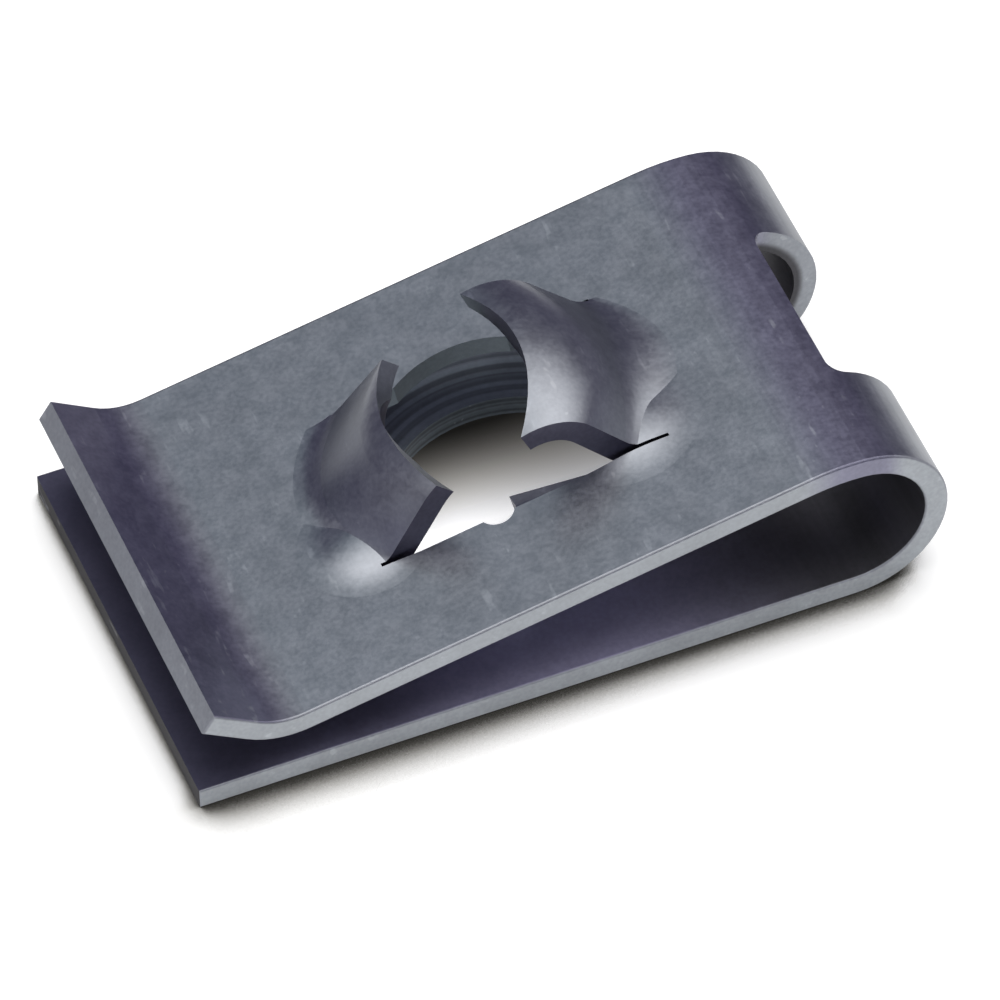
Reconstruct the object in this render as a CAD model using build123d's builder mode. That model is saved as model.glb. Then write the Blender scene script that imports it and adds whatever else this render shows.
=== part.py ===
from build123d import *
import os
from math import asin, cos, degrees, radians, sin, tan

# U-type speed nut: one strip of spring steel folded back on itself.
# Millimetres.  +X runs along the lower leg from its front edge to the bend,
# +Z is up and the lower leg lies on z = 0.  The origin is the axis of the
# clearance hole, on the underside of the lower leg.

# Strip
width = 12.7
thickness = 0.7
edge_break = 0.08            # softened corners of the sheared long edges

# Side profile
lower_leg_run = 19.86        # front edge to the start of the bend
hole_setback = 12.4          # front edge to the clearance hole axis
bend_radius = 2.08           # inside of the bend
crown_radius = 5.4           # inside of the slacker curve that ends the bend
crown_angle = 15.7
spring_angle = 10.9          # the upper leg closes past parallel by this much
upper_leg_run = 15.46        # straight stretch of the upper leg
lip_radius = 2.6             # underside of the lead-in curve
lip_angle = 43.9             # turn of the lead-in lip away from the upper leg
lip_run = 1.53               # straight end of the lip

# Openings
clearance_radius = 3.95      # screw clearance hole in the lower leg
notch_width = 5.8            # relief notch across the bend
notch_top_angle = 75.5       # directions from the bend centre in which the
notch_bottom_angle = -62.0   # notch begins above and ends below
notch_corner = 0.5

# Thread impression in the upper leg
axis_setback = 7.83          # end of the straight stretch to the screw axis
root_radius = 2.15           # root of the screw that the prong tips close on
prong_width = 5.6
slit_gap = 0.1               # shear line between prong and strip
near_slit = (3.85, 5.0)      # reach of the slits from the screw axis, to the
far_slit = (3.1, 4.9)        # front and to the rear
root_flat = 0.5              # flat of the leg blanked out beyond each prong
relief_radius = 3.35         # rounded relief between the prongs, far side
relief_offset = 0.6
pin_notch_radius = 0.53      # small notch in the near strip
pin_notch_offset = -0.27
pin_notch_depth = 0.35

# Strip edge rolled down beside the rear prong: distance from the screw axis,
# turn of the roll and length of its straight end, at both ends of the roll.
roll_sections = ((0.27, 24.0, 0.6), (3.2, 3.0, 0.05))
roll_radius = 0.3
roll_setback = 0.3           # the roll starts in the strip, off the slit line

# Swells that forming the prongs raised round the near ends of the slits:
# distance of the centre from the screw axis, radius at the foot and height.
rear_swell = (4.0, 2.2, 0.27)
front_swell = (4.0, 1.9, 0.28)
swell_inset = 1.1            # from the slit line to the centres of the swells
swell_root = 0.3             # depth of a swell's body within the leg

prong_clear = 4.0            # above the tallest prong, for cuts through both

# Each prong has three sections across its width: near edge, middle, far edge.
# Start of the root curve from the screw axis, radius of that concave curve,
# slope, height of the crest, radius of the arch, tip's distance from the axis.
rear_prong_sections = (
    (4.53, 0.9, 58.8, 2.66, 1.82, 0.95),
    (6.3, 2.0, 58.0, 3.05, 2.9, 2.2),
    (5.13, 0.9, 55.8, 2.73, 1.95, 1.42),
)
front_prong_sections = (
    (4.07, 0.9, 50.0, 2.8, 2.9, 1.65),
    (5.2, 1.2, 42.0, 2.4, 2.9, 2.15),
    (3.9, 2.1, 36.5, 2.05, 2.9, 1.2),
)

root_distances = [section[0] for section in rear_prong_sections + front_prong_sections]
window_reach = max(root_distances) + root_flat
front_edge = -hole_setback
bend_start = front_edge + lower_leg_run
bend_turn = 180 + spring_angle - crown_angle
slit = prong_width / 2


def sheet_side(outward):
    """Side of the folded sheet that lies outward from its inner side."""
    height = thickness - outward
    lower = Line((front_edge, height), (bend_start, height))
    bend = JernArc(lower @ 1, lower % 1, bend_radius + outward, bend_turn)
    crown = JernArc(bend @ 1, bend % 1, crown_radius + outward, crown_angle)
    upper = Line(crown @ 1, crown @ 1 + (crown % 1) * upper_leg_run)
    lip_curve = JernArc(upper @ 1, upper % 1, lip_radius - outward, -lip_angle)
    lip = Line(lip_curve @ 1, lip_curve @ 1 + (lip_curve % 1) * lip_run)
    return lower, upper, lip


# Folded strip: both sides of the sheet, from the front edge of the lower leg
# round the bend to the lip, closed by the sheared ends.
with BuildPart() as strip:
    with BuildSketch(Plane.XZ):
        with BuildLine():
            inner = sheet_side(0)
            outer = sheet_side(thickness)
            Line(inner[0] @ 0, outer[0] @ 0)
            Line(inner[2] @ 1, outer[2] @ 1)
        make_face()
    extrude(amount=width / 2, both=True)
    sheared_sides = strip.faces().filter_by(Axis.Y)
    fillet(sheared_sides.edges(), edge_break)


# Frame of the thread impression: on the outer face of the upper leg at the
# screw axis, x along the leg to the bend and z out of the leg.
leg_top = outer[1]
toward_bend = Vector(cos(radians(spring_angle)), 0, sin(radians(spring_angle)))
leg_normal = Vector(-sin(radians(spring_angle)), 0, cos(radians(spring_angle)))
leg_start = Vector((leg_top @ 0).X, 0, (leg_top @ 0).Y)
axis_point = leg_start - toward_bend * axis_setback
leg_face = Plane(axis_point, x_dir=toward_bend, z_dir=leg_normal)


def prong_side(below, root, fold_radius, slope, crest, arch_radius, tip):
    """One side of a prong's section, x measured out from the screw axis."""
    rise = sin(radians(slope))
    climb = crest - (fold_radius + arch_radius) * (1 - cos(radians(slope)))
    ramp_run = climb / tan(radians(slope))
    crest_distance = root - (fold_radius + arch_radius) * rise - ramp_run
    tip_slope = degrees(asin((tip - crest_distance) / arch_radius))
    flat = Line((window_reach, -below), (root, -below))
    fold = JernArc(flat @ 1, (-1, 0), fold_radius + below, -slope)
    ramp = Line(fold @ 1, fold @ 1 + (fold % 1) * (climb / rise))
    arch = JernArc(ramp @ 1, ramp % 1, arch_radius - below, slope - tip_slope)
    return flat, arch


def prong(sections, outward):
    """Prong of sheet thickness, lofted across its width between the slits."""
    with BuildPart() as blade:
        for side, section in zip((-1, 0, 1), sections):
            place = axis_point + Vector(0, side * prong_width / 2, 0)
            section_plane = Plane(place, x_dir=outward, z_dir=outward.cross(leg_normal))
            with BuildSketch(section_plane):
                with BuildLine():
                    top = prong_side(0, *section)
                    under = prong_side(thickness, *section)
                    Line(top[0] @ 0, under[0] @ 0)
                    Line(top[1] @ 1, under[1] @ 1)
                make_face()
        loft()
    return blade.part


rear_prong = prong(rear_prong_sections, toward_bend)
front_prong = prong(front_prong_sections, -toward_bend)


def rolled_side(below, angle, run):
    """One side of the rolled strip edge, x measured across the strip."""
    flat = Line((-roll_setback, -below), (0, -below))
    curve = JernArc(flat @ 1, flat % 1, roll_radius + thickness - below, -angle)
    droop = Line(curve @ 1, curve @ 1 + (curve % 1) * run)
    return flat @ 0, droop @ 1


# Edge of the near strip beside the rear prong, rolled down into the opening
# at the small notch and fading out along the slit.
with BuildPart() as rolled_edge:
    for reach, angle, run in roll_sections:
        place = axis_point + toward_bend * reach - Vector(0, slit + roll_setback, 0)
        with BuildSketch(Plane(place, x_dir=(0, 1, 0), z_dir=toward_bend)):
            with BuildLine():
                top = rolled_side(0, angle, run)
                under = rolled_side(thickness, angle, run)
                Line(top[0], under[0])
                Line(top[1], under[1])
            make_face()
    loft(ruled=True)


# Swells of the leg round the near slit ends, trimmed where the prongs stand
# clear of the leg.
with BuildPart() as swells:
    for outward, (reach, radius, height), (root, fold_radius, *_) in (
        (toward_bend, rear_swell, rear_prong_sections[0]),
        (-toward_bend, front_swell, front_prong_sections[0]),
    ):
        foot = axis_point + outward * reach - Vector(0, slit - swell_inset, 0)
        with BuildSketch(Plane(foot, x_dir=toward_bend, z_dir=(0, -1, 0))):
            with BuildLine():
                flank = (radius / 2, height / 2)
                rim = (radius, 0)
                TangentArc((0, height), flank, tangent=(1, 0))
                TangentArc(rim, flank, tangent=(-1, 0))
                Polyline(rim, (radius, -swell_root), (0, -swell_root), (0, height))
            make_face()
        revolve(axis=Axis(foot, leg_normal))
        slot_end = axis_point + outward * (root - fold_radius / 2)
        slot_middle = slot_end - outward * radius
        with BuildSketch(Plane(slot_middle, x_dir=toward_bend, z_dir=leg_normal)):
            Rectangle(2 * radius, prong_width)
        extrude(amount=prong_clear, both=True, mode=Mode.SUBTRACT)


# Wedge that clears the notch across the bend, its ends square to the sheet.
bend_centre = Vector(bend_start, bend_radius + thickness)
notch_inside = bend_radius / 2
notch_outside = 3 * bend_radius


def notch_point(direction, reach):
    """Point at a distance from the bend centre, in a direction from it."""
    return bend_centre + Vector(cos(radians(direction)), sin(radians(direction))) * reach


with BuildPart() as bend_notch:
    with BuildSketch(Plane.XZ):
        with BuildLine():
            Polyline(
                notch_point(notch_bottom_angle, notch_inside),
                notch_point(notch_bottom_angle, notch_outside),
                notch_point(0, notch_outside),
                notch_point(notch_top_angle, notch_outside),
                notch_point(notch_top_angle, notch_inside),
                close=True,
            )
        make_face()
    extrude(amount=notch_width / 2, both=True)
    for direction in (notch_top_angle, notch_bottom_angle):
        ray = Axis((0, 0, 0), (cos(radians(direction)), 0, sin(radians(direction))))
        fillet(bend_notch.edges().filter_by(ray), notch_corner)

with BuildPart() as speed_nut:
    add(strip.part)

    # blank out the impression and put the formed prongs in its place
    with BuildSketch(leg_face):
        Rectangle(2 * window_reach, prong_width)
    extrude(amount=-thickness, mode=Mode.SUBTRACT)
    add(rear_prong)
    add(front_prong)

    # screw root between the tips
    with BuildSketch(leg_face):
        Circle(root_radius)
    extrude(amount=prong_clear, mode=Mode.SUBTRACT)

    # swells round the near slit ends, raised above and hollow below
    add(swells.part)
    add(swells.part.moved(Location(-leg_normal * thickness)), mode=Mode.SUBTRACT)

    # shear lines along the prongs
    with BuildSketch(leg_face) as slits:
        for place, (front_reach, rear_reach) in ((-slit, near_slit), (slit, far_slit)):
            with Locations(((rear_reach - front_reach) / 2, place)):
                Rectangle(front_reach + rear_reach, slit_gap)
    extrude(amount=prong_clear, mode=Mode.SUBTRACT)
    extrude(slits.sketch, amount=-thickness, mode=Mode.SUBTRACT)

    add(rolled_edge.part)

    # rounded relief on the far side and small notch on the near side
    with BuildSketch(leg_face):
        with Locations((relief_offset, 0)):
            Circle(relief_radius)
        with Locations((relief_offset, -relief_radius)):
            Rectangle(2 * relief_radius, 2 * (relief_radius + slit), mode=Mode.SUBTRACT)
        with Locations((pin_notch_offset, -slit - pin_notch_depth + pin_notch_radius)):
            Circle(pin_notch_radius)
    extrude(amount=-thickness, mode=Mode.SUBTRACT)

    # relief notch across the bend
    add(bend_notch.part, mode=Mode.SUBTRACT)

    # screw clearance hole in the lower leg
    with Locations((0, 0, thickness / 2)):
        Hole(clearance_radius, depth=thickness)

os.makedirs("parts", exist_ok=True)
speed_nut.part.label = "speed_nut"
export_step(speed_nut.part, "parts/speed_nut.step")
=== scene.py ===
import math
from types import SimpleNamespace

import bpy
from mathutils import Matrix, Vector


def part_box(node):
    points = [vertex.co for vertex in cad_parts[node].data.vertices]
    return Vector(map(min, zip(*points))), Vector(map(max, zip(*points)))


# Looks of the U clip speed nut: its steel, the floor, the studio and the camera.
# Places and sizes are in millimetres, as in the CAD: +X runs to the bend, +Y to
# the far side and +Z up, from the axis of the clearance hole on the underside of
# the lower leg.  Colours are linear RGB.  A fade is a pair: where it starts and
# where it is full.
MM = 0.001

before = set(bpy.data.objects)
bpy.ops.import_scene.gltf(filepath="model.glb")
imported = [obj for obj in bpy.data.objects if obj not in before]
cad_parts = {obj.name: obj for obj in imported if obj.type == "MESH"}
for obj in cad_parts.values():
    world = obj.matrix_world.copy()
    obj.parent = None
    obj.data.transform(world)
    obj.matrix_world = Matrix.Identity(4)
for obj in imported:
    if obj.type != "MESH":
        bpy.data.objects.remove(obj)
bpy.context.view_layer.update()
scene = bpy.context.scene
scene.view_settings.view_transform = "Standard"
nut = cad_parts["speed_nut"]

# Sizes of the nut
THICKNESS = 0.7
LOWER_LEG_RUN = 19.86        # front edge to the start of the bend
BEND_INNER = 2.08
SPRING_ANGLE = math.radians(10.9)
HOLE_RADIUS = 3.95
NOTCH_HALF = 2.9
low_corner, high_corner = (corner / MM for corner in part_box("speed_nut"))
front_x = low_corner.x
half_width = high_corner.y
bend_axis = (front_x + LOWER_LEG_RUN, 0, THICKNESS + BEND_INNER)
leg_normal = (-math.sin(SPRING_ANGLE), 0, math.cos(SPRING_ANGLE))


class Tree:
    """Short calls for building one node tree."""

    def __init__(self, owner, empty=False):
        owner.use_nodes = True
        self.tree = owner.node_tree
        if empty:
            self.tree.nodes.clear()

    def add(self, kind, *inputs, **settings):
        """A node; each input is a value, a node or the output of a node."""
        made = self.tree.nodes.new(kind)
        for name, value in settings.items():
            setattr(made, name, value)
        for index, value in enumerate(inputs):
            self.feed(made.inputs[index], value)
        return made

    def feed(self, socket, value):
        """Sets or links one input; a node stands for its first output."""
        if isinstance(value, bpy.types.Node):
            value = value.outputs[0]
        if isinstance(value, bpy.types.NodeSocket):
            self.tree.links.new(value, socket)
        else:
            socket.default_value = value

    def math(self, operation, *inputs):
        return self.add("ShaderNodeMath", *inputs, operation=operation)

    def fold(self, operation, values):
        """One operation on the first two values, then on its result and the next."""
        result = values[0]
        for value in values[1:]:
            result = self.math(operation, result, value)
        return result

    def times(self, *values):
        return self.fold("MULTIPLY", values)

    def total(self, *values):
        return self.fold("ADD", values)

    def most(self, *values):
        return self.fold("MAXIMUM", values)

    def without(self, mask):
        """Everywhere that a mask isn't."""
        return self.math("SUBTRACT", 1.0, mask)

    def swap(self, mask, outside, inside):
        """One number outside a mask and another inside it."""
        return self.total(self.times(mask, inside), self.times(self.without(mask), outside))

    def vector(self, operation, *inputs):
        return self.add("ShaderNodeVectorMath", *inputs, operation=operation)

    def length(self, vector):
        return self.vector("LENGTH", vector).outputs["Value"]

    def split(self, vector):
        """The three parts of a vector."""
        return self.add("ShaderNodeSeparateXYZ", vector).outputs[:3]

    def place(self):
        """Place on the object in millimetres, then its parts along, across and up."""
        place = self.vector("SCALE", self.add("ShaderNodeTexCoord").outputs["Object"])
        place.inputs["Scale"].default_value = 1 / MM
        return place, *self.split(place)

    def band(self, value, low, high, start=0.0, end=1.0):
        """Smooth step of a value from start at low to end at high."""
        return self.add(
            "ShaderNodeMapRange", value, low, high, start, end, interpolation_type="SMOOTHSTEP"
        )

    def noise(self, place, size, detail=1.0, roughness=0.5, stretch=(1, 1, 1)):
        """Noise from 0 to 1 with features of about the given size."""
        scale = [factor / size for factor in stretch]
        made = self.tree.nodes.new("ShaderNodeTexNoise")
        self.feed(made.inputs["Vector"], self.vector("MULTIPLY", place, scale))
        made.inputs["Scale"].default_value = 1.0
        made.inputs["Detail"].default_value = detail
        made.inputs["Roughness"].default_value = roughness
        return made.outputs[0]

    def swing(self, noise, reach, amount, middle=1.0):
        """A noise as middle ± amount, which it meets at 0.5 ± reach."""
        return self.band(noise, 0.5 - reach, 0.5 + reach, middle - amount, middle + amount)

    def blend(self, factor, first, second, kind="MIX"):
        """Mix of two colours."""
        mixed = self.tree.nodes.new("ShaderNodeMix")
        mixed.data_type = "RGBA"
        mixed.blend_type = kind
        self.feed(mixed.inputs[0], factor)
        self.feed(mixed.inputs[6], first)
        self.feed(mixed.inputs[7], second)
        return mixed.outputs[2]

    def tinted(self, colour, tint):
        """Product of two colours."""
        return self.blend(1.0, colour, tint, kind="MULTIPLY")

    def gray(self, value):
        return self.add("ShaderNodeCombineColor", value, value, value)


# Steel: dark phosphated spring steel with a satin sheen.
COATING = (0.30, 0.316, 0.345, 1)
SHEARED_SIDE = (0.34, 0.36, 0.385, 1)
NEAR_RIM = (0.36, 0.375, 0.405, 1)
# Painted shade: a dark line along the far rounded edge.
FAR_RIM = (0.10, 0.10, 0.13, 1)
# Painted shade: a darker, purple colour on the bend and the lip, standing in for the dark
# reflections there.
BEND_AND_LIP_SHADE = (0.23, 0.228, 0.298, 1)
# Painted shade: a dark front end of the lower leg, standing in for the shadow beside it.
FRONT_END = (0.1, 0.098, 0.1, 1)
# Painted shade: the dark wall and top round the round hole, whose rings are painted highlight
# and shade.
ROUND_HOLE = (0.115, 0.135, 0.152, 1)
# Painted shade: dark purple on the prongs' cut faces.
CUT_FACE = (0.15, 0.142, 0.19, 1)
# Painted shade: a dark far wall of the prongs' window.
WINDOW_WALL = (0.13, 0.155, 0.175, 1)
WORN = (0.5, 0.52, 0.55, 1)
WEAR_STRENGTH = 0.4
SPECK_STRENGTH = 0.7
LESS_METAL_INSIDE = 0.5
SATIN = 0.3625               # roughness of the coating; the next three are added to it
ROUGHER_FACE = 0.06
ROUGHER_RIM = 0.25
ROUGHER_FRONT_END = 0.5
BUMP_STRENGTH = 0.25
BUMP_DEPTH = 0.01

# Inside the fold, the colour at its mouth and those that fade in towards the bend: painted
# light and shade, darker at the mouth and at the bend, lighter in between where less light
# reaches.
INSIDE_MOUTH = (0.062, 0.06, 0.098, 1)
INSIDE_RUN = (
    ((-11.6, -8.5), (0.15, 0.145, 0.22, 1)),
    ((-8.0, -1.0), (0.28, 0.27, 0.39, 1)),
    ((0.5, 7.0), (0.06, 0.059, 0.068, 1)),
)

# Fades by place
TO_SIDE = (half_width - 0.12, half_width - 0.07)
TO_FAR_HALF = (0, 1)
PAST_BEND_AXIS = (bend_axis[0] - 1.0, bend_axis[0] + 0.2)
TO_BEND_INSIDE = (BEND_INNER + 0.35, BEND_INNER + 0.1)
TO_NOTCH = (NOTCH_HALF + 0.3, NOTCH_HALF + 0.1)
TO_LOWER_LEG = (THICKNESS + 0.1, THICKNESS + 0.02)
TO_UPPER_LEG = (1.0, 1.4)
TO_FRONT_END = (front_x + 0.1, front_x + 0.04)
TO_HOLE_WALL = (HOLE_RADIUS + 0.06, HOLE_RADIUS + 0.02)
TO_HOLE_RINGS = (7.6, 5.2)
RINGS_ACROSS = (0.5, 2.0)
PRONG_FRONT = (-8.2, -8.0)
PRONG_REAR = (4.2, 4.0)
PRONG_SIDE = (5.0, 4.8)
PRONG_RISE = (1.2, 1.4)
WINDOW_ACROSS = (1.6, 2.3)
BEND_SHADE_STARTS = (5.5, 7.2)
# Where the painted shade on the bend and the lip lies
BEND_SHADE_ENDS = (9.0, 8.2)
BEND_SHADE_RISE = (1.5, 2.5)
LIP_STARTS = (-9.3, -10.4)
LIP_RISE = (1.5, 1.8)
LINES_START = (3.5, 6.5)
RUBS_TO_LIP = (-6, -8)

# Fades by noise
RUBS = (0.64, 0.72)
MORE_RUBS = 0.03             # added to the noise of the rubs towards the lip
RUBBED_BLOTCHES = (0.42, 0.58)
SPECKS = (0.69, 0.8)
SPECKED_MOTTLES = (0.46, 0.6)

# Fades by facing, as parts of the unit normal
FACES_SIDE = (0.85, 0.97)
LEAVES_SIDE = (0.97, 0.85)
TURNS_TO_SIDE = (0.1, 0.3)
TURNS_OFF_SIDE = (0.5, 0.2)
FACES_UP = (0.85, 0.95)
FACES_DOWN = (-0.3, -0.6)
FACES_FRONT = (-0.8, -0.95)
FACES_NEAR = (-0.1, -0.4)
LIP_FACES_UP = (0.55, 0.75)
LINES_FACE_UP = (-0.2, 0.2)
EDGE_OF_LEG = (0.45, 0.3)


def find_surface(t):
    """Place and facing of the point that is shaded."""
    at = SimpleNamespace()
    at.place, at.along, at.across, at.rise = t.place()
    at.normal = t.add("ShaderNodeNewGeometry").outputs["Normal"]
    at.face_x, at.face_y, at.face_z = t.split(at.normal)
    at.side = t.math("ABSOLUTE", at.across)
    at.side_on = t.math("ABSOLUTE", at.face_y)
    at.from_hole = t.length(t.vector("MULTIPLY", at.place, (1, 1, 0)))
    return at


def find_inside(t, at, low):
    """Masks of the whole inside of the fold and of its lower leg's top."""
    from_axis = t.vector("MULTIPLY", t.vector("SUBTRACT", at.place, bend_axis), (1, 0, 1))
    off_side = t.most(t.band(at.side_on, *TURNS_OFF_SIDE), t.band(at.side, *TO_NOTCH))
    behind_axis = t.band(at.along, *PAST_BEND_AXIS)
    bend = t.times(behind_axis, t.band(t.length(from_axis), *TO_BEND_INSIDE), off_side)
    lower_leg = t.times(t.band(at.face_z, *FACES_UP), low)
    upper_leg = t.times(t.band(at.face_z, *FACES_DOWN), t.band(at.rise, *TO_UPPER_LEG))
    return t.most(bend, lower_leg, upper_leg), lower_leg


def find_zones(t, at):
    """Masks of the zones with a colour of their own: the sheared sides and rims, and the zones
    of painted light and shade.
    """
    on = SimpleNamespace()
    at_side = t.band(at.side, *TO_SIDE)
    on.sheared = t.times(at_side, t.band(at.side_on, *FACES_SIDE))
    on.rim = t.times(
        at_side, t.band(at.side_on, *TURNS_TO_SIDE), t.band(at.side_on, *LEAVES_SIDE)
    )
    # Painted shade along the far rounded edge
    on.far_rim = t.times(on.rim, t.band(at.across, *TO_FAR_HALF))

    low = t.band(at.rise, *TO_LOWER_LEG)
    on.inside, lower_top = find_inside(t, at, low)
    # Painted shade on the front end of the lower leg
    on.front_end = t.times(
        t.band(at.face_x, *FACES_FRONT), low, t.band(at.along, *TO_FRONT_END)
    )
    # Painted shade and rings of painted highlight round the hole
    hole_wall = t.times(low, t.band(at.from_hole, *TO_HOLE_WALL))
    rings = t.times(
        lower_top, t.band(at.from_hole, *TO_HOLE_RINGS), t.band(at.across, *RINGS_ACROSS)
    )
    on.round_hole = t.most(hole_wall, rings)

    # Painted shade on the prongs' cut faces
    edge_on = t.vector("DOT_PRODUCT", at.normal, leg_normal).outputs["Value"]
    on.cut = t.times(
        t.band(t.math("ABSOLUTE", edge_on), *EDGE_OF_LEG),
        t.band(at.side, *PRONG_SIDE),
        t.band(at.along, *PRONG_FRONT),
        t.band(at.along, *PRONG_REAR),
        t.band(at.rise, *PRONG_RISE),
    )
    # Painted shade on the far wall of the prongs' window
    on.window_wall = t.times(
        on.cut, t.band(at.face_y, *FACES_NEAR), t.band(at.across, *WINDOW_ACROSS)
    )

    # Painted shade on the bend and the lip
    bend = t.times(
        t.band(at.along, *BEND_SHADE_STARTS),
        t.band(at.along, *BEND_SHADE_ENDS),
        t.band(at.rise, *BEND_SHADE_RISE),
    )
    lip = t.times(
        t.band(at.along, *LIP_STARTS),
        t.band(at.face_z, *LIP_FACES_UP),
        t.band(at.rise, *LIP_RISE),
    )
    on.strained = t.most(bend, lip)
    return on


def make_grains(t, place):
    """The three noises of the coating, from broad to fine."""
    return SimpleNamespace(
        mottle=t.noise(place, 1.9, detail=3.0, roughness=0.55),
        blotch=t.noise(place, 0.62, detail=2.0, roughness=0.6),
        grain=t.noise(place, 0.13),
    )


def find_tone(t, at, on, grains):
    """Light and dark of the coating: mottling, lines round the bend, and rings of painted
    highlight and shade at the hole.
    """
    tone = t.times(
        t.swing(grains.mottle, 0.2, 0.05),
        t.swing(grains.blotch, 0.2, 0.04),
        t.swing(grains.grain, 0.25, 0.06),
    )
    lines = t.swing(t.noise(at.place, 0.16, detail=2.0, stretch=(1, 0.05, 1)), 0.15, 0.05)
    lined = t.times(t.band(at.along, *LINES_START), t.band(at.face_z, *LINES_FACE_UP))
    round_axis = t.add("ShaderNodeCombineXYZ", at.from_hole, 0.0, at.rise)
    rings = t.swing(t.noise(round_axis, 0.22), 0.15, 0.425, middle=1.025)
    return t.times(tone, t.swap(lined, 1.0, lines), t.swap(on.round_hole, 1.0, rings))


def find_wear(t, at, on, grains):
    """Mask of the short bright rubs and fine specks on the outer faces."""
    rub = t.noise(at.place, 0.42, detail=2.0, roughness=0.6, stretch=(1, 0.25, 1))
    rub = t.total(rub, t.band(at.along, *RUBS_TO_LIP, 0.0, MORE_RUBS))
    rub = t.times(t.band(rub, *RUBS), t.band(grains.blotch, *RUBBED_BLOTCHES))
    speck = t.band(t.noise(at.place, 0.15, stretch=(1, 0.5, 1)), *SPECKS)
    speck = t.times(speck, t.band(grains.mottle, *SPECKED_MOTTLES), SPECK_STRENGTH)
    return t.times(t.most(rub, speck), t.without(t.most(on.inside, on.cut)))


def find_colour(t, at, on, grains):
    """Colour of the coating, with each zone laid over those before it."""
    # Painted light and shade inside the fold
    inner = INSIDE_MOUTH
    for fade, colour in INSIDE_RUN:
        inner = t.blend(t.band(at.along, *fade), inner, colour)
    layers = (
        (on.sheared, SHEARED_SIDE),
        (on.rim, NEAR_RIM),
        (on.far_rim, FAR_RIM),
        (on.strained, BEND_AND_LIP_SHADE),
        (on.inside, inner),
        (on.front_end, FRONT_END),
        (on.round_hole, ROUND_HOLE),
        (on.cut, CUT_FACE),
        (on.window_wall, WINDOW_WALL),
        (t.times(find_wear(t, at, on, grains), WEAR_STRENGTH), WORN),
    )
    result = COATING
    for mask, colour in layers:
        result = t.blend(mask, result, colour)
    return t.tinted(result, t.gray(find_tone(t, at, on, grains)))


def find_roughness(t, on, grains):
    """Satin, rougher inside the fold and on sheared faces, and most on the front end."""
    return t.total(
        t.swing(grains.blotch, 0.2, 0.0225, middle=SATIN),
        t.swing(grains.grain, 0.25, 0.02, middle=0.0),
        t.times(t.most(on.sheared, on.inside), ROUGHER_FACE),
        t.times(on.rim, ROUGHER_RIM),
        t.times(on.front_end, ROUGHER_FRONT_END),
    )


def make_steel():
    steel = bpy.data.materials.new("phosphated_spring_steel")
    t = Tree(steel)
    shader = t.tree.nodes["Principled BSDF"]
    at = find_surface(t)
    on = find_zones(t, at)
    grains = make_grains(t, at.place)
    t.feed(shader.inputs["Base Color"], find_colour(t, at, on, grains))
    t.feed(shader.inputs["Metallic"], t.without(t.times(on.inside, LESS_METAL_INSIDE)))
    t.feed(shader.inputs["Roughness"], find_roughness(t, on, grains))
    bump = t.tree.nodes.new("ShaderNodeBump")
    bump.inputs["Strength"].default_value = BUMP_STRENGTH
    bump.inputs["Distance"].default_value = BUMP_DEPTH * MM
    pits = t.noise(at.place, 0.35)
    t.feed(bump.inputs["Height"], t.total(t.times(grains.grain, 0.5), t.times(pits, 0.5)))
    t.feed(shader.inputs["Normal"], bump)
    return steel


nut.data.materials.clear()
nut.data.materials.append(make_steel())

# Floor: white paper to the camera; the metal sees a sheet of it on a dark bench.
# Its glow is for what sees or mirrors it, and lights nothing.
HALF_FLOOR = 3000
FLOOR_DROP = 0.01
FLOOR_GLOW = 0.25
FLOOR_WHITE = (0.85, 0.85, 0.85, 1)
WHITE = (1, 1, 1, 1)
SHEET_CENTRE = (-1, 0, 0)
SHEET_EDGE = (30, 70)
SHEET_ACROSS = (-6, 8)
SHEET_NEAR, SHEET_FAR = 0.8, 0.62
BENCH = (0.12, 0.11, 0.17, 1)

# The contact shadow, from how open the floor is: 1 where nothing stands near.
# It is full below SHADOW_CORE and gone above OPEN_LEFT or OPEN_RIGHT.  SHADOW_LEAN
# is the normal about which openness is taken.  Brightness is squared after the fade.
SHADOW_TINT = (1.0, 0.955, 0.86, 1)
SHADOW_REACH = 1.9
SHADOW_LEAN = (0.1, 0.5, 1)
SHADOW_CORE = 0.42
SHADOW_DARKEST = 0.2
OPEN_LEFT, OPEN_RIGHT = 0.95, 0.8
LEFT_TO_RIGHT = (-8, 6)
NARROWER = 0.3               # taken off at the bend and at the left end
PAST_BEND = (8.0, 9.6)
PAST_LEFT_END = (-12.2, -12.6)
LEFT_END_ACROSS = (-6.8, -5.2)
HOLE_SHADOW_ACROSS = (3.8, 0.3)
HOLE_DARKEST, HOLE_BRIGHTEST = 0.17, 1.15


def find_contact_shadow(t, along, across):
    """Brightness of the paper round the nut, from its ambient occlusion."""
    contact = t.tree.nodes.new("ShaderNodeAmbientOcclusion")
    contact.samples = 8
    contact.inputs["Distance"].default_value = SHADOW_REACH * MM
    t.feed(contact.inputs["Normal"], t.vector("NORMALIZE", SHADOW_LEAN))
    left_end = t.times(t.band(along, *PAST_LEFT_END), t.band(across, *LEFT_END_ACROSS))
    narrower = t.times(t.total(t.band(along, *PAST_BEND), left_end), NARROWER)
    lit = t.band(along, *LEFT_TO_RIGHT, OPEN_LEFT, OPEN_RIGHT)
    lit = t.math("SUBTRACT", lit, narrower)
    shade = t.band(contact.outputs["AO"], SHADOW_CORE, lit, SHADOW_DARKEST, 1.0)
    return t.times(shade, shade)


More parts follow.
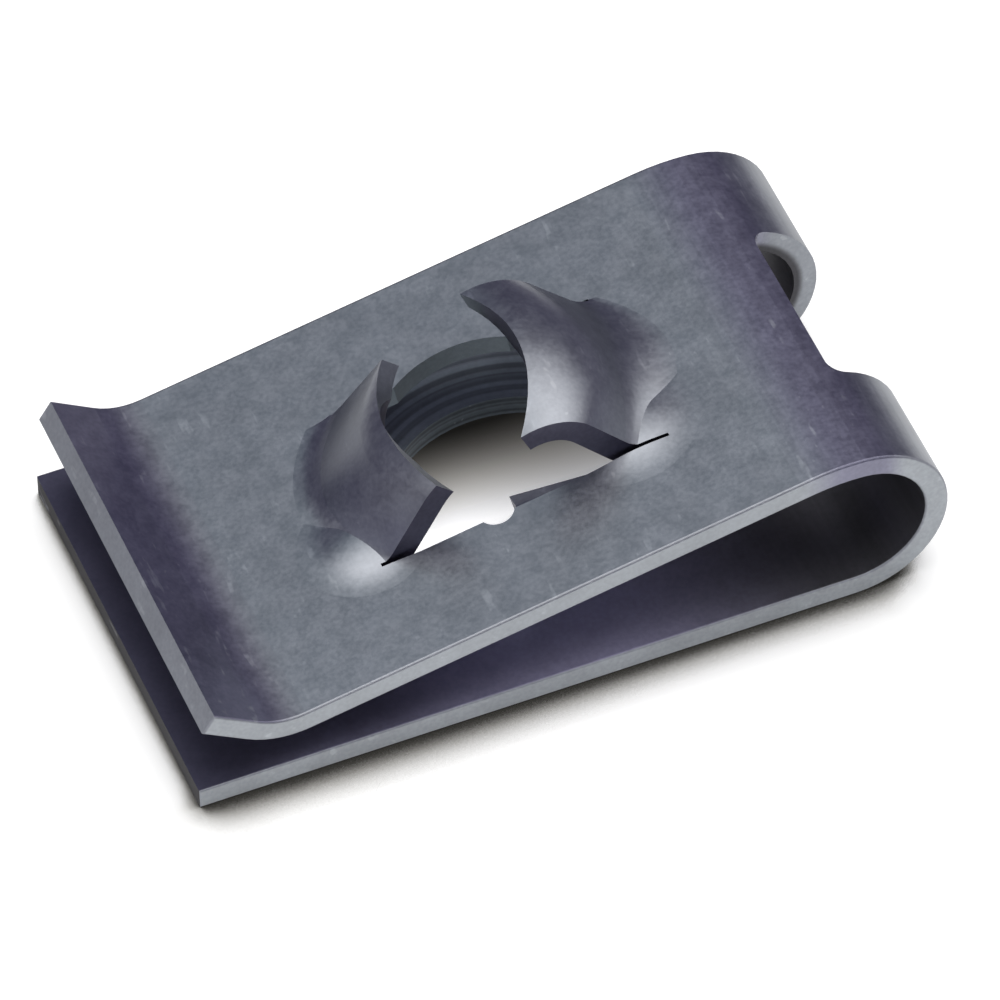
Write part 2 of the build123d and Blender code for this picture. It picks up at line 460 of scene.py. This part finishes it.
def make_paper(t, glow, place, along, across):
    """The floor as the camera sees it, with the nut's shadow round it and in its hole."""
    depth = t.add(
        "ShaderNodeMapRange", across, *HOLE_SHADOW_ACROSS, HOLE_DARKEST, HOLE_BRIGHTEST
    )
    in_hole = t.band(t.length(place), HOLE_RADIUS + 0.15, HOLE_RADIUS - 0.05)
    shade = t.swap(in_hole, find_contact_shadow(t, along, across), t.times(depth, depth))
    colour = t.tinted(t.blend(shade, SHADOW_TINT, WHITE), t.gray(shade))
    white = t.tinted(FLOOR_WHITE, colour)
    glowing = t.add("ShaderNodeEmission", colour, glow)
    return t.add("ShaderNodeAddShader", glowing, t.add("ShaderNodeBsdfDiffuse", white))


def make_bench(t, glow, place, across):
    """The floor as the metal mirrors it, and as it lights the metal."""
    away = t.length(t.vector("SUBTRACT", place, SHEET_CENTRE))
    sheet = t.gray(t.band(across, *SHEET_ACROSS, SHEET_NEAR, SHEET_FAR))
    colour = t.blend(t.band(away, *SHEET_EDGE, 1.0, 0.0), BENCH, sheet)
    glowing = t.add("ShaderNodeEmission", colour, glow)
    return t.add("ShaderNodeAddShader", glowing, t.add("ShaderNodeBsdfDiffuse", colour))


def make_floor_paint():
    paint = bpy.data.materials.new("floor_paint")
    t = Tree(paint, empty=True)
    path = t.add("ShaderNodeLightPath").outputs
    seen = t.most(path["Is Camera Ray"], path["Is Glossy Ray"], path["Is Transmission Ray"])
    glow = t.times(seen, FLOOR_GLOW)
    place, along, across, _ = t.place()
    paper = make_paper(t, glow, place, along, across)
    bench = make_bench(t, glow, place, across)
    floor_look = t.add("ShaderNodeMixShader", path["Is Camera Ray"], bench, paper)
    t.add("ShaderNodeOutputMaterial", floor_look)
    return paint


floor_mesh = bpy.data.meshes.new("floor")
reach = HALF_FLOOR * MM
corners = [(-reach, -reach, 0), (reach, -reach, 0), (reach, reach, 0), (-reach, reach, 0)]
floor_mesh.from_pydata(corners, [], [(0, 1, 2, 3)])
floor_mesh.materials.append(make_floor_paint())
floor = bpy.data.objects.new("floor", floor_mesh)
floor.location.z = -FLOOR_DROP * MM
scene.collection.objects.link(floor)

# World: a dim studio with a bright strip of ceiling, white to the camera.
DIM = (0.110, 0.102, 0.170, 1)
WEST = (0.262, 0.342, 0.40, 1)
CEILING = (2.4, 2.36, 2.34, 1)
AMBIENT = 0.35

# Fades of the strip and of the west side, by parts of the unit direction.  The
# strip's near and far edges are by lean, the run to the north per rise.
STRIP_FAR_EDGE = (0.75, 0.12)
STRIP_NEAR_EDGE = (-0.8, -0.25)
STRIP_RISE = (-0.05, 0.9)
WEST_EDGE = (0.31, -0.12)
WEST_RISE = (0.5, 0.8)


def make_studio():
    world = bpy.data.worlds.new("studio")
    t = Tree(world, empty=True)
    path = t.add("ShaderNodeLightPath").outputs
    east, north, rise = t.split(t.add("ShaderNodeTexCoord").outputs["Generated"])
    lean = t.math("DIVIDE", north, t.most(rise, 0.02))
    strip = t.times(
        t.band(lean, *STRIP_FAR_EDGE), t.band(rise, *STRIP_RISE), t.band(lean, *STRIP_NEAR_EDGE)
    )
    west = t.times(t.band(east, *WEST_EDGE), t.band(rise, *WEST_RISE))
    colour = t.blend(strip, t.blend(west, DIM, WEST), CEILING)
    mirrored = t.add("ShaderNodeBackground", colour, 1.0)
    ambient = t.add("ShaderNodeBackground", WHITE, AMBIENT)
    studio = t.add("ShaderNodeMixShader", path["Is Diffuse Ray"], mirrored, ambient)
    plain = t.add("ShaderNodeBackground", WHITE, 1.0)
    seen = t.most(path["Is Camera Ray"], path["Is Transmission Ray"])
    t.add("ShaderNodeOutputWorld", t.add("ShaderNodeMixShader", seen, studio, plain))
    return world


scene.world = make_studio()

# Key lamp: a square almost overhead, which lights the nut but isn't mirrored in it.
LAMP_SIZE = 400 * MM
LAMP_DISTANCE = 500 * MM
LAMP_BRIGHTNESS = 4.7
LAMP_DIRECTION = (0.15, 0.15, 1)
lamp = bpy.data.lights.new("key", "AREA")
lamp.shape = "SQUARE"
lamp.size = LAMP_SIZE
lamp.energy = LAMP_BRIGHTNESS * math.pi * LAMP_SIZE**2
key = bpy.data.objects.new("key", lamp)
key.location = Vector(LAMP_DIRECTION).normalized() * LAMP_DISTANCE
key.rotation_euler = key.location.to_track_quat("Z", "Y").to_euler()
key.visible_glossy = False
key.visible_camera = False
scene.collection.objects.link(key)

# Camera, at the photograph's viewing angle
AZIMUTH = math.radians(-21.383)
ELEVATION = math.radians(48.75)
ROLL = math.radians(-1.419)
DISTANCE = 303.12
LENS = 386.1396              # on Blender's own sensor width, 36 mm
TARGET = (-0.77, 0, 1.054)
back = Vector((
    math.sin(AZIMUTH) * math.cos(ELEVATION),
    -math.cos(AZIMUTH) * math.cos(ELEVATION),
    math.sin(ELEVATION),
))
right = (-back).cross(Vector((0, 0, 1))).normalized()
up = right.cross(-back)
turned_right = right * math.cos(ROLL) + up * math.sin(ROLL)
turned_up = up * math.cos(ROLL) - right * math.sin(ROLL)
axes = Matrix((turned_right, turned_up, back)).transposed().to_4x4()
camera_data = bpy.data.cameras.new("camera")
camera_data.lens = LENS
camera_data.clip_start = 10 * MM
camera_data.clip_end = 10000 * MM
camera = bpy.data.objects.new("camera", camera_data)
camera.matrix_world = Matrix.Translation((Vector(TARGET) + back * DISTANCE) * MM) @ axes
scene.collection.objects.link(camera)
scene.camera = camera
